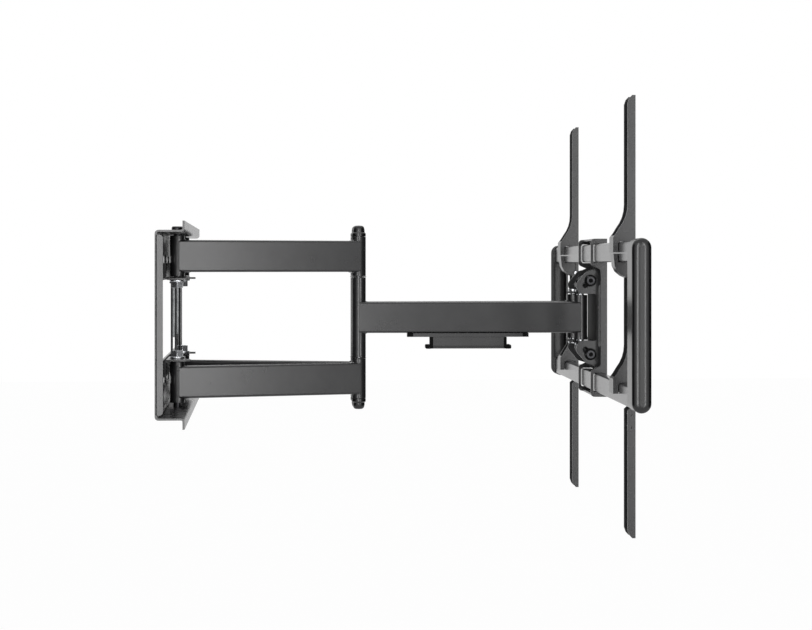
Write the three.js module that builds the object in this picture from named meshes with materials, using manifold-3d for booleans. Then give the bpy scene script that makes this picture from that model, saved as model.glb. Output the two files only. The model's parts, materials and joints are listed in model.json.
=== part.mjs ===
// Full motion wall mount for a flat screen: a folded wall plate, two double arms that fold side by side,
// a swivel bracket, a tilting carriage on two rails, and two screen brackets that hook over the rails.
// Millimetres. The wall is the plane X = 0, +X points to the screen, +Z is up, and the origin is on the
// back face of the wall plate's upper band, midway along it. "Near" is the -Y side and "far" the +Y side.
// Pieces are drawn about the plate's middle, and the whole mount is moved down to the origin at the end.
import * as THREE from "three";
import { mergeVertices } from "three/addons/utils/BufferGeometryUtils.js";
import Module from "manifold-3d";

// Fits
const gap = 0.3; // between pieces that touch on the real mount
const slidingGap = 0.5; // between pieces that slide on each other
const overrun = 3; // how far a cut passes the face it opens

// The far head pin runs in a slot, because the two arms and the bracket make a closed loop
const openPivotPlay = 4.2; // each way along the bracket
const openPivotSlack = 1; // all round the pin
const openPivotSetBack = 1.5; // from the near pin's line to the slot's middle

// Wall plate
const plateWidth = 440;
const plateHeight = 186;
const plateDepth = 29;
const plateSheet = 2;
const plateBend = 3;
const lipHeight = 9;
const endTabDepth = 8;
const endTabCorner = 3;
const windowMargin = 20;
const slotWidth = 8;
const slotLength = 46;
const slotPitch = 68;
const pilotRadius = 2.5;
const pilotPitch = 34;
const slotLevelShare = 0.62; // of the band between the shelf and the flange
const pilotLevelShare = 0.24;
const originLevelShare = 0.3;

// Shelves that carry the wall pivots
const shelfSheet = 2;
const shelfLength = 182;
const shelfReach = 23;
const shelfLegHeight = 16;
const shelfBend = 3;
const shelfWaist = 16.5;
const shelfEarRadius = 12;
const stopTabLength = 6;
const stopTabWidth = 7;

// Struts between the shelves
const strutRadius = 3.3;
const strutWall = 0.9;
const strutFromWall = 10.4;
const strutFromPivot = 18;
const strutSlotShare = 0.22; // of the strut's length
const strutSlotWidth = 2.8;
const strutFootRadius = 5;
const strutFootHeight = 3.5;

// Arms
const armHeight = 34;
const armThickness = 15;
const armCorner = 2.6;
const armLevel = 66.8; // from the middle of the mount to the middle of an inner arm
const innerArmLength = 202;
const outerArmLength = 244;
const weldReach = 3;

// Pivots
const pivotRise = 1.5; // the arms' middle above the plate's middle
const pivotStandoff = 15; // from the wall to the wall pivots
const pivotHalfSpread = 64;
const headPinHalfSpread = 22;
const barrelRadius = 7.8;
const barrelHeight = 43.2;
const headBarrelHeight = 49;
const pinRadius = 4;
const washerThickness = 1;
const washerRadius = 8.1;
const boltHeadRadius = 6;
const boltHeadHeight = 2.6;
const padThickness = 1.6;
const padLength = 26;
const padWidth = 18;
const padCorner = 3;
const nutRadius = 6.8;
const nutHeight = 8;
const nutFlangeRadius = 8.2;
const nutFlangeHeight = 1.6;
const capHeight = 12;
const capSkirtHeight = 3.4;
const capNeckShare = 0.84; // of the barrel's radius
const capCrownShare = 0.5;

// Cable clip under the near outer arm
const clipLength = 128;
const clipFromElbow = 53;
const clipPlateThickness = 3;
const clipNotchLength = 6;
const clipNotchDepth = 1.6;
const coverLength = 88;
const coverInset = 20;
const coverHeight = 9.5;
const coverWall = 1.8;
const coverLipLength = 3.2;

// Swivel bracket
const headSheet = 2;
const headDepth = 30.5; // from the head pins' axis to the screen plane
const cheekHalfSpread = 35;
const cheekFront = 18.2; // from the pins' axis to the cheek's screen side
const cheekNose = 7.3; // from the pins' axis to the cheek's wall side
const cheekHeight = 52.5;
const cheekNoseHeight = 36;
const cheekRootHeight = 28;
const cheekShoulder = 13;
const cheekCorner = 3.5;
const pocketFront = 16.7;
const pocketCorner = 4;
const clevisReach = 9;
const clevisCorner = 6;
const headPinHeadRadius = 6;
const headPinHeadHeight = 2.2;

// Tilt: the carriage turns about an axis in front of the screen plane
const tiltAxisAhead = 12; // from the screen plane to the tilt axis
const tiltTravel = 8; // degrees each way
const tiltBoltBack = 21.3; // from the screen plane to the tilt bolts
const tiltBoltHeight = 40.3;
const tiltBoltRadius = 3;
const tiltFlangeRadius = 5.6;
const tiltFlangeHeight = 1;
const tiltHeadRadius = 4.4;
const tiltHeadHeight = 3.4;
const tiltSocketRadius = 2.6;
const tiltNutRadius = 5.4;
const tiltNutHeight = 3.2;

// Carriage
const carriageSheet = 2;
const carriageBack = 3.4; // from the screen plane to the carriage web
const carriageDepth = 22.8; // from the screen plane to the carriage's wall edge
const carriageHeight = 172;
const carriageHalfWidth = 50;
const carriageStripDepth = 7.2;
const carriageCorner = 5;
const windowHalfHeight = 57;
const windowHalfWidth = 39;
const earGap = 0.4;
const tongueWidth = 8;
const earFoot = 35;
const earCrown = 46.5;
const earNose = 27;

// Rails
const railHeight = 20;
const railDepth = 13;
const railWall = 1.6;
const railCorner = 2.5;
const railLevel = 70.2;
const railBack = 6.4; // from the screen plane to the rails' screen side
const railLength = 634;

// End caps
const capWidth = 32;
const capDepth = 16;
const capTallness = 165;
const capBulge = 3;
const capRecess = 22;
const capWall = 2.4;

// Screen brackets
const bracketSheet = 2;
const bracketWidth = 25;
const bracketDepth = 11.5;
const bracketAbove = 226;
const bracketBelow = 214;
const bracketHalfSpread = 210;
const bracketEndChamfer = 8;
const hookDepth = 27.7;
const hookProng = 7.2;
const hookDrop = 11.5;
const hookRoof = 4;
const flareHeight = 33;
const latchBay = 18;
const stepHeight = 6;
const screenSlotWidth = 7;
const screenSlotLength = 22;
const screenSlotPitch = 31;
const screenHoleRadius = 3.2;
const sideHoleRadius = 1.8;
const sideHolePitch = 12.5;

// Latches
const latchWidth = 20;
const latchDepth = 26.7;
const latchTip = 6.6;
const latchTipWidth = 4.5;
const latchFoot = 24;
const latchPinRadius = 2.2;
const latchPinBack = 6.4;
const latchPinDrop = 21;
const latchEyeRadius = 4;

// Rest pose
const restReachShare = 0.98871; // of the arms' full reach
const restYaw = THREE.MathUtils.degToRad(-2.3);

// Facets
const roundFacets = 20;
const smallFacets = 12;
const hexSides = 6;
const cornerFacets = 1; // for each eighth turn of a small corner
const arcFacets = 4; // for each eighth turn of a large one
const bendFacets = 3;
const flareFacets = 6;

const wasm = await Module();
wasm.setup();

// A three.js geometry as a solid that can be joined and cut.
function solid(geometry) {
  const bare = geometry.index ? geometry.toNonIndexed() : geometry.clone();
  for (const name of Object.keys(bare.attributes)) {
    if (name !== "position") bare.deleteAttribute(name);
  }
  const merged = mergeVertices(bare, gap / 1000);
  return new wasm.Manifold(
    new wasm.Mesh({
      numProp: 3,
      vertProperties: new Float32Array(merged.attributes.position.array),
      triVerts: new Uint32Array(merged.index.array),
    }),
  );
}

const join = (first, ...rest) => rest.reduce((whole, piece) => whole.add(piece), first);
const cut = (first, ...rest) => rest.reduce((whole, piece) => whole.subtract(piece), first);

function shapeOf(points) {
  return new THREE.Shape(points.map(([x, y]) => new THREE.Vector2(x, y)));
}

function roundedRect(x0, y0, x1, y1, radius) {
  const shape = new THREE.Shape();
  const r = Math.min(radius, (x1 - x0) / 2, (y1 - y0) / 2);
  shape.moveTo(x0 + r, y0);
  shape.lineTo(x1 - r, y0);
  shape.absarc(x1 - r, y0 + r, r, -Math.PI / 2, 0);
  shape.lineTo(x1, y1 - r);
  shape.absarc(x1 - r, y1 - r, r, 0, Math.PI / 2);
  shape.lineTo(x0 + r, y1);
  shape.absarc(x0 + r, y1 - r, r, Math.PI / 2, Math.PI);
  shape.lineTo(x0, y0 + r);
  shape.absarc(x0 + r, y0 + r, r, Math.PI, Math.PI * 1.5);
  return shape;
}

// A closed outline whose corners are rounded: each point is [x, y, radius].
function roundedOutline(points) {
  const shape = new THREE.Shape();
  const at = (i) => points[(i + points.length) % points.length];
  points.forEach(([x, y, radius = 0], i) => {
    const here = new THREE.Vector2(x, y);
    const before = new THREE.Vector2(at(i - 1)[0], at(i - 1)[1]).sub(here);
    const after = new THREE.Vector2(at(i + 1)[0], at(i + 1)[1]).sub(here);
    const setBack = Math.min(radius, before.length() / 2, after.length() / 2);
    const start = here.clone().add(before.setLength(setBack));
    const end = here.clone().add(after.setLength(setBack));
    if (i === 0) shape.moveTo(start.x, start.y);
    else shape.lineTo(start.x, start.y);
    if (setBack > 0) shape.quadraticCurveTo(x, y, end.x, end.y);
  });
  return shape;
}

// The section of a folded sheet, from the corner points of its middle line.
function foldedSection(points, thickness, bendRadius) {
  const line = [];
  points.forEach(([x, y], i) => {
    const here = new THREE.Vector2(x, y);
    if (i === 0 || i === points.length - 1) {
      line.push(here);
      return;
    }
    const before = new THREE.Vector2(...points[i - 1]).sub(here);
    const after = new THREE.Vector2(...points[i + 1]).sub(here);
    const half = Math.acos(before.clone().normalize().dot(after.clone().normalize())) / 2;
    const setBack = Math.min(bendRadius / Math.tan(half), before.length() / 2, after.length() / 2);
    const start = here.clone().add(before.setLength(setBack));
    const end = here.clone().add(after.setLength(setBack));
    const curve = new THREE.QuadraticBezierCurve(start, here, end);
    line.push(...curve.getPoints(bendFacets));
  });
  const side = (sign) =>
    line.map((point, i) => {
      const along = line[Math.min(i + 1, line.length - 1)].clone().sub(line[Math.max(i - 1, 0)]);
      const across = new THREE.Vector2(-along.y, along.x).setLength((sign * thickness) / 2);
      return point.clone().add(across);
    });
  return new THREE.Shape([...side(1), ...side(-1).reverse()]);
}

function extrude(shape, depth, curveSegments = arcFacets) {
  return new THREE.ExtrudeGeometry(shape, { depth, bevelEnabled: false, curveSegments });
}

// Outlines drawn in XY, XZ or YZ, extruded along the third axis between two places.
function alongZ(shape, z0, z1, segments) {
  return solid(extrude(shape, z1 - z0, segments).translate(0, 0, z0));
}

function alongY(shape, y0, y1, segments) {
  return solid(
    extrude(shape, y1 - y0, segments)
      .rotateX(Math.PI / 2)
      .translate(0, y1, 0),
  );
}

const yzToX = new THREE.Matrix4().makeBasis(
  new THREE.Vector3(0, 1, 0),
  new THREE.Vector3(0, 0, 1),
  new THREE.Vector3(1, 0, 0),
);

function alongX(shape, x0, x1, segments) {
  return solid(
    extrude(shape, x1 - x0, segments)
      .applyMatrix4(yzToX)
      .translate(x0, 0, 0),
  );
}

function box(x0, x1, y0, y1, z0, z1) {
  const geometry = new THREE.BoxGeometry(x1 - x0, y1 - y0, z1 - z0);
  return solid(geometry.translate((x0 + x1) / 2, (y0 + y1) / 2, (z0 + z1) / 2));
}

// A round rod along Z at (x, y).
function rodZ(radius, x, y, z0, z1, facets = roundFacets) {
  const geometry = new THREE.CylinderGeometry(radius, radius, z1 - z0, facets);
  return solid(geometry.rotateX(Math.PI / 2).translate(x, y, (z0 + z1) / 2));
}

// A round rod along Y at (x, z).
function rodY(radius, x, z, y0, y1, facets = smallFacets) {
  const geometry = new THREE.CylinderGeometry(radius, radius, y1 - y0, facets);
  return solid(geometry.translate(x, (y0 + y1) / 2, z));
}

// A turned piece from [radius, height] pairs that start and end on its axis, along Z.
function turned(pairs, facets = roundFacets) {
  const profile = pairs.map(([r, h]) => new THREE.Vector2(r, h));
  return solid(new THREE.LatheGeometry(profile, facets).rotateX(Math.PI / 2));
}

// An outline with round ends, along its own x.
function slotShape(x, y, length, width) {
  return roundedRect(x - length / 2, y - width / 2, x + length / 2, y + width / 2, width / 2);
}

const finishes = {
  powderCoat: { color: 0x2b2c2e, roughness: 0.42, metalness: 0.1 },
  railCoat: { color: 0x3a3b3d, roughness: 0.36, metalness: 0.1 },
  blackPlastic: { color: 0x131314, roughness: 0.32, metalness: 0 },
  nylon: { color: 0x1c1c1d, roughness: 0.55, metalness: 0 },
  zinc: { color: 0xb9bcbf, roughness: 0.28, metalness: 1 },
  blackSteel: { color: 0x222324, roughness: 0.38, metalness: 0.8 },
};

function mesh(name, made, finish) {
  const data = made.getMesh();
  const geometry = new THREE.BufferGeometry();
  geometry.setAttribute("position", new THREE.BufferAttribute(new Float32Array(data.vertProperties), 3));
  geometry.setIndex(new THREE.BufferAttribute(new Uint32Array(data.triVerts), 1));
  geometry.computeVertexNormals();
  const material = new THREE.MeshStandardMaterial({ ...finishes[finish], flatShading: true });
  const piece = new THREE.Mesh(geometry, material);
  piece.name = name;
  return piece;
}

const sides = [
  { name: "near", sign: -1 },
  { name: "far", sign: 1 },
];
const levels = [
  { name: "upper", sign: 1 },
  { name: "lower", sign: -1 },
];

// Heights that several pieces share, measured from the arms' middle.
const barrelTop = armLevel + barrelHeight / 2;
const barrelFoot = armLevel - barrelHeight / 2;
const washerRoom = washerThickness + 2 * gap;
const shelfTop = barrelFoot - washerRoom;
const windowTop = pivotRise + shelfTop - shelfSheet;
const originLevel = windowTop + (plateHeight / 2 - windowTop) * originLevelShare;

// Wall plate: a channel with out-turned lips, folded end tabs, a window and two slotted bands.
function wallPlate() {
  const half = plateHeight / 2;
  const mid = plateSheet / 2;
  const front = plateDepth - mid;
  const section = foldedSection(
    [
      [front, -half - lipHeight],
      [front, -half + mid],
      [mid, -half + mid],
      [mid, half - mid],
      [front, half - mid],
      [front, half + lipHeight],
    ],
    plateSheet,
    plateBend,
  );
  const halfWidth = plateWidth / 2;
  let plate = alongY(section, -halfWidth, halfWidth);
  const tab = roundedOutline([
    [mid, -half + plateSheet + endTabCorner],
    [endTabDepth, -half + plateSheet + endTabCorner, endTabCorner],
    [endTabDepth, half - plateSheet - endTabCorner, endTabCorner],
    [mid, half - plateSheet - endTabCorner],
  ]);
  for (const { sign } of sides) {
    const outer = sign * halfWidth;
    const inner = sign * (halfWidth - plateSheet);
    plate = join(plate, alongY(tab, Math.min(outer, inner), Math.max(outer, inner)));
  }
  const windowFoot = 2 * pivotRise - windowTop;
  const windowHalf = halfWidth - windowMargin;
  const opening = roundedRect(-windowHalf, windowFoot, windowHalf, windowTop, slotWidth);
  plate = cut(plate, alongX(opening, -overrun, plateSheet + overrun));
  for (const { sign } of levels) {
    const bandFoot = sign > 0 ? windowTop : windowFoot;
    const bandHeight = sign * half - bandFoot;
    const slotZ = bandFoot + bandHeight * slotLevelShare;
    const pilotZ = bandFoot + bandHeight * pilotLevelShare;
    const slots = Math.floor((windowHalf - slotLength / 2) / slotPitch);
    for (let i = -slots; i <= slots; i += 1) {
      const slot = slotShape(i * slotPitch, slotZ, slotLength, slotWidth);
      plate = cut(plate, alongX(slot, -overrun, plateSheet + overrun, cornerFacets));
    }
    for (let i = -slots; i < slots; i += 1) {
      const y = (i + 0.5) * slotPitch;
      for (const offset of [-pilotPitch / 4, pilotPitch / 4]) {
        const pilot = slotShape(y + offset, pilotZ, 2 * pilotRadius, 2 * pilotRadius);
        plate = cut(plate, alongX(pilot, -overrun, plateSheet + overrun, cornerFacets));
      }
    }
    for (const side of sides) {
      const through = [sign * (half + overrun), sign * (half - plateSheet - overrun)].sort((a, b) => a - b);
      plate = cut(plate, rodZ(pinRadius + gap, pivotStandoff, side.sign * pivotHalfSpread, ...through));
    }
  }
  return mesh("wall_plate", plate, "powderCoat");
}

// A folded shelf with a leg on the plate's band and a round ear at each pivot, drawn for the upper one.
function shelf(level) {
  const leg = plateSheet + gap;
  const top = shelfTop;
  const half = shelfLength / 2;
  const section = foldedSection(
    [
      [leg + shelfSheet / 2, top + shelfLegHeight],
      [leg + shelfSheet / 2, top - shelfSheet / 2],
      [shelfReach, top - shelfSheet / 2],
    ],
    shelfSheet,
    shelfBend,
  );
  let made = alongY(section, -half, half);
  const bay = pivotHalfSpread - shelfEarRadius;
  const between = roundedRect(shelfWaist, -bay, shelfReach + overrun, bay, shelfEarRadius / 2);
  made = cut(made, alongZ(between, top - shelfSheet - overrun, top + overrun, cornerFacets));
  for (const { sign } of sides) {
    const y = sign * pivotHalfSpread;
    made = cut(made, rodZ(pinRadius + gap, pivotStandoff, y, top - shelfSheet - overrun, top + overrun));
    const tabY = sign * (half - stopTabWidth);
    const tab = roundedRect(
      shelfReach - shelfSheet,
      tabY - stopTabWidth / 2,
      shelfReach + stopTabLength,
      tabY + stopTabWidth / 2,
      shelfSheet,
    );
    made = join(made, alongZ(tab, top - shelfSheet, top, cornerFacets));
  }
  if (level.sign < 0) made = made.mirror([0, 0, 1]);
  const piece = mesh(level.name + "_shelf", made, "powderCoat");
  piece.position.z = pivotRise;
  return piece;
}

// A round strut that ties the shelves together beside a pivot, slotted near its foot.
function strut(side) {
  const top = shelfTop - shelfSheet - gap;
  const length = 2 * top;
  const slotTop = -top + strutFootHeight + length * strutSlotShare;
  const tube = cut(
    rodZ(strutRadius, strutFromWall, 0, -top, top),
    rodZ(strutRadius - strutWall, strutFromWall, 0, -top + strutFootHeight, top + overrun),
  );
  const slot = roundedRect(
    strutFromWall - strutSlotWidth / 2,
    -top + strutFootHeight,
    strutFromWall + strutSlotWidth / 2,
    slotTop,
    strutSlotWidth / 2,
  );
  const foot = rodZ(strutFootRadius, strutFromWall, 0, -top, -top + strutFootHeight, hexSides);
  const collar = cut(
    rodZ(strutFootRadius, strutFromWall, 0, top - strutFootHeight, top, hexSides),
    rodZ(strutRadius - strutWall, strutFromWall, 0, top - strutFootHeight - overrun, top + overrun),
  );
  const slotCut = alongY(slot, -strutFootRadius, strutFootRadius, cornerFacets);
  const piece = mesh(side.name + "_strut", join(cut(tube, slotCut), foot, collar), "zinc");
  piece.position.set(0, side.sign * (pivotHalfSpread - strutFromPivot), pivotRise);
  return piece;
}

// A wall pivot: flat-headed bolt, its rectangular pad on the flange, a washer and a flanged nut.
function wallPivot(side, level) {
  const plateFace = plateHeight / 2 - level.sign * pivotRise;
  const headFoot = plateFace + padThickness + 2 * gap;
  const nutTop = shelfTop - shelfSheet - gap;
  const nutFoot = nutTop - nutHeight;
  const bolt = turned([
    [0, nutFoot + nutHeight / 4],
    [pinRadius, nutFoot + nutHeight / 4],
    [pinRadius, headFoot],
    [boltHeadRadius, headFoot],
    [boltHeadRadius, headFoot + boltHeadHeight * 0.7],
    [boltHeadRadius - boltHeadHeight * 0.3, headFoot + boltHeadHeight],
    [0, headFoot + boltHeadHeight],
  ]);
  const nut = cut(
    join(
      rodZ(nutRadius, 0, 0, nutFoot, nutTop - nutFlangeHeight, hexSides),
      rodZ(nutFlangeRadius, 0, 0, nutTop - nutFlangeHeight, nutTop),
    ),
    rodZ(pinRadius + gap, 0, 0, nutFoot - overrun, nutTop + overrun),
  );
  const padOutline = roundedRect(-padWidth / 2, -padLength / 2, padWidth / 2, padLength / 2, padCorner);
  const pad = cut(
    alongZ(padOutline, plateFace + gap, plateFace + gap + padThickness, cornerFacets),
    rodZ(pinRadius + gap, 0, 0, plateFace - overrun, headFoot + overrun),
  );
  const washerFoot = shelfTop + gap;
  const washer = cut(
    rodZ(washerRadius, 0, 0, washerFoot, washerFoot + washerThickness),
    rodZ(pinRadius + gap, 0, 0, washerFoot - overrun, washerFoot + washerThickness + overrun),
  );
  const group = new THREE.Group();
  group.position.set(pivotStandoff, side.sign * pivotHalfSpread, pivotRise);
  const tag = side.name + "_" + level.name;
  const placed = (made) => (level.sign < 0 ? made.mirror([0, 0, 1]) : made);
  group.add(
    mesh(tag + "_pivot_bolt", placed(bolt), "zinc"),
    mesh(tag + "_pivot_nut", placed(nut), "zinc"),
    mesh(tag + "_pivot_washer", placed(washer), "nylon"),
  );
  if (level.sign > 0) group.add(mesh(tag + "_pivot_pad", placed(pad), "powderCoat"));
  return group;
}

// A welded arm along +X from its first pivot, with a barrel at each end.
function armBody(length, level, firstBarrel, lastBarrel) {
  const half = armHeight / 2;
  const section = roundedRect(-armThickness / 2, level - half, armThickness / 2, level + half, armCorner);
  let made = alongX(section, 0, length, cornerFacets);
  const ends = [
    { x: 0, inward: 1, span: firstBarrel },
    { x: length, inward: -1, span: lastBarrel },
  ];
  for (const { x, inward, span } of ends) {
    made = join(made, rodZ(barrelRadius, x, 0, span[0], span[1]));
    for (const edge of [-1, 1]) {
      const z = level + edge * half;
      const root = x + inward * (barrelRadius - weldReach / 2);
      const bead = shapeOf([
        [root, z - edge * weldReach],
        [root + inward * 1.5 * weldReach, z - edge * gap],
        [root, z + (edge * weldReach) / 2],
      ]);
      made = join(made, alongY(bead, -armThickness / 4, armThickness / 4));
    }
  }
  for (const { x, span } of ends) {
    made = cut(made, rodZ(pinRadius + gap, x, 0, span[0] - overrun, span[1] + overrun));
  }
  return made;
}

function innerArm(side, level) {
  const span = [barrelFoot, barrelTop];
  const made = armBody(innerArmLength, armLevel, span, span);
  const placed = level.sign < 0 ? made.mirror([0, 0, 1]) : made;
  return mesh(side.name + "_inner_" + level.name + "_arm", placed, "powderCoat");
}

function outerArm(side) {
  const elbowHalf = barrelFoot - washerRoom;
  const headHalf = headBarrelHeight / 2;
  const made = armBody(outerArmLength, 0, [-elbowHalf, elbowHalf], [-headHalf, headHalf]);
  return mesh(side.name + "_outer_arm", made, "powderCoat");
}

// The elbow's through pin, its two washers and its two domed end caps.
function elbow(side) {
  const pieces = [];
  const pinHalf = barrelTop + capSkirtHeight;
  const pin = rodZ(pinRadius, 0, 0, -pinHalf, pinHalf);
  pieces.push(mesh(side.name + "_elbow_pin", pin, "zinc"));
  const capFoot = barrelTop + gap;
  const neck = barrelRadius * capNeckShare;
  const crown = barrelRadius * capCrownShare;
  const bore = pinRadius + gap;
  const capRise = capHeight - capSkirtHeight;
  const cap = turned([
    [0, pinHalf + gap],
    [bore, pinHalf + gap],
    [bore, capFoot],
    [barrelRadius, capFoot],
    [barrelRadius, capFoot + capSkirtHeight],
    [neck, capFoot + capSkirtHeight + capRise * 0.12],
    [neck, capFoot + capSkirtHeight + capRise * 0.42],
    [neck * 0.93, capFoot + capSkirtHeight + capRise * 0.66],
    [crown + (neck - crown) * 0.55, capFoot + capSkirtHeight + capRise * 0.86],
    [crown, capFoot + capSkirtHeight + capRise * 0.96],
    [0, capFoot + capHeight],
  ]);
  const washerFoot = barrelFoot - gap - washerThickness;
  const washer = cut(
    rodZ(washerRadius, 0, 0, washerFoot, washerFoot + washerThickness),
    rodZ(bore, 0, 0, washerFoot - overrun, washerFoot + washerThickness + overrun),
  );
  for (const level of levels) {
    const placed = (made) => (level.sign < 0 ? made.mirror([0, 0, 1]) : made);
    pieces.push(mesh(side.name + "_" + level.name + "_elbow_cap", placed(cap), "blackPlastic"));
    pieces.push(mesh(side.name + "_" + level.name + "_elbow_washer", placed(washer), "nylon"));
  }
  return pieces;
}

// The cable clip: a plate under the arm with notched ends, and a snap-on channel with out-turned lips.
function cableClip() {
  const top = -armHeight / 2 - gap;
  const foot = top - clipPlateThickness;
  const halfWidth = armThickness / 2;
  let base = box(clipFromElbow, clipFromElbow + clipLength, -halfWidth, halfWidth, foot, top);
  for (const x of [clipFromElbow, clipFromElbow + clipLength - clipNotchLength]) {
    const notchTop = foot + clipNotchDepth;
    const end = x + clipNotchLength;
    base = cut(base, box(x + gap, end - gap, -halfWidth - overrun, 0, foot - overrun, notchTop));
  }
  const section = foldedSection(
    [
      [-halfWidth + coverWall / 2, foot - gap],
      [-halfWidth + coverWall / 2, foot - coverHeight],
      [halfWidth - coverWall / 2, foot - coverHeight],
      [halfWidth - coverWall / 2, foot - gap],
    ],
    coverWall,
    coverWall,
  );
  const start = clipFromElbow + coverInset;
  const end = start + coverLength;
  let cover = alongX(section, start, end);
  for (const x of [start - coverLipLength, end - coverWall]) {
    const lip = box(
      x,
      x + coverLipLength + coverWall,
      -halfWidth,
      halfWidth,
      foot - coverHeight - coverWall / 2,
      foot - coverHeight + coverWall / 2,
    );
    cover = join(cover, lip);
  }
  return [mesh("cable_clip_base", base, "blackPlastic"), mesh("cable_clip_cover", cover, "blackPlastic")];
}

// The swivel bracket in the head's frame: X = 0 is the screen plane, Z = 0 the arms' middle.
function swivelBracket() {
  const pins = -headDepth;
  const front = pins + cheekFront;
  const nose = pins - cheekNose;
  const pocket = pins + pocketFront;
  const clevisFoot = headBarrelHeight / 2 + washerRoom - gap;
  const cheek = roundedOutline([
    [front, -cheekHeight + cheekCorner, cheekCorner],
    [front - cheekCorner, -cheekHeight, cheekCorner],
    [front - cheekShoulder, -cheekHeight + cheekCorner / 2, cheekCorner],
    [nose, -cheekNoseHeight, cheekCorner],
    [nose + cheekCorner, -cheekRootHeight, cheekCorner],
    [nose + cheekCorner, -clevisFoot, gap],
    [pocket, -clevisFoot, pocketCorner],
    [pocket, clevisFoot, pocketCorner],
    [nose + cheekCorner, clevisFoot, gap],
    [nose + cheekCorner, cheekRootHeight, cheekCorner],
    [nose, cheekNoseHeight, cheekCorner],
    [front - cheekShoulder, cheekHeight - cheekCorner / 2, cheekCorner],
    [front - cheekCorner, cheekHeight, cheekCorner],
    [front, cheekHeight - cheekCorner, cheekCorner],
  ]);
  const outside = cheekHalfSpread + headSheet / 2;
  const inside = outside - headSheet;
  let made = join(alongY(cheek, -outside, -inside), alongY(cheek, inside, outside));
  made = join(made, box(front - headSheet, front, -outside, outside, -clevisFoot, clevisFoot));
  const plate = roundedRect(pins - clevisReach, -outside, front, outside, clevisCorner);
  for (const { sign } of levels) {
    const z = [sign * clevisFoot, sign * (clevisFoot + headSheet)].sort((a, b) => a - b);
    made = join(made, alongZ(plate, ...z, cornerFacets));
    made = join(made, box(front - headSheet, front, -outside, outside, ...z));
    const through = [z[0] - overrun, z[1] + overrun];
    made = cut(made, rodZ(pinRadius + gap, pins, -headPinHalfSpread, ...through));
    const slotRadius = pinRadius + openPivotSlack;
    const play = roundedRect(
      pins - openPivotSetBack - slotRadius,
      headPinHalfSpread - slotRadius - openPivotPlay,
      pins - openPivotSetBack + slotRadius,
      headPinHalfSpread + slotRadius + openPivotPlay,
      slotRadius,
    );
    made = cut(made, alongZ(play, ...through));
    for (const side of sides) {
      const y = [side.sign * (inside - overrun), side.sign * (outside + overrun)].sort((a, b) => a - b);
      made = cut(made, alongY(tiltSlot(sign), ...y));
    }
  }
  return mesh("swivel_bracket", made, "powderCoat");
}

// The curved slot for a tilt bolt, about the tilt axis, with the bolt in its middle at rest.
function tiltSlot(sign) {
  const back = tiltBoltBack + tiltAxisAhead;
  const radius = Math.hypot(back, tiltBoltHeight);
  const middle = Math.PI - Math.atan2(tiltBoltHeight, back);
  const reach = THREE.MathUtils.degToRad(tiltTravel);
  const half = tiltBoltRadius + slidingGap;
  const slot = [];
  const add = (arcRadius, angle) => slot.push([arcRadius * Math.cos(angle), arcRadius * Math.sin(angle)]);
  for (let i = 0; i <= arcFacets; i += 1) {
    add(radius + half, middle - reach + (2 * reach * i) / arcFacets);
  }
  const endCap = (angle, start) => {
    for (let i = 1; i < arcFacets; i += 1) {
      const turn = start + (Math.PI * i) / arcFacets;
      slot.push([
        radius * Math.cos(angle) + half * Math.cos(turn),
        radius * Math.sin(angle) + half * Math.sin(turn),
      ]);
    }
  };
  endCap(middle + reach, middle + reach);
  for (let i = arcFacets; i >= 0; i -= 1) {
    add(radius - half, middle - reach + (2 * reach * i) / arcFacets);
  }
  endCap(middle - reach, middle - reach + Math.PI);
  const placed = slot.map(([x, z]) => [x + tiltAxisAhead, sign * z]);
  return shapeOf(sign > 0 ? placed : placed.reverse());
}

// A head pin with a low round head above and below the clevis.
function headPin(side) {
  const face = headBarrelHeight / 2 + washerRoom - gap + headSheet + gap;
  const pin = turned([
    [0, -face - headPinHeadHeight],
    [headPinHeadRadius, -face - headPinHeadHeight],
    [headPinHeadRadius, -face],
    [pinRadius, -face],
    [pinRadius, face],
    [headPinHeadRadius, face],
    [headPinHeadRadius, face + headPinHeadHeight],
    [0, face + headPinHeadHeight],
  ]);
  return mesh(side.name + "_head_pin", pin, "zinc");
}

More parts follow.
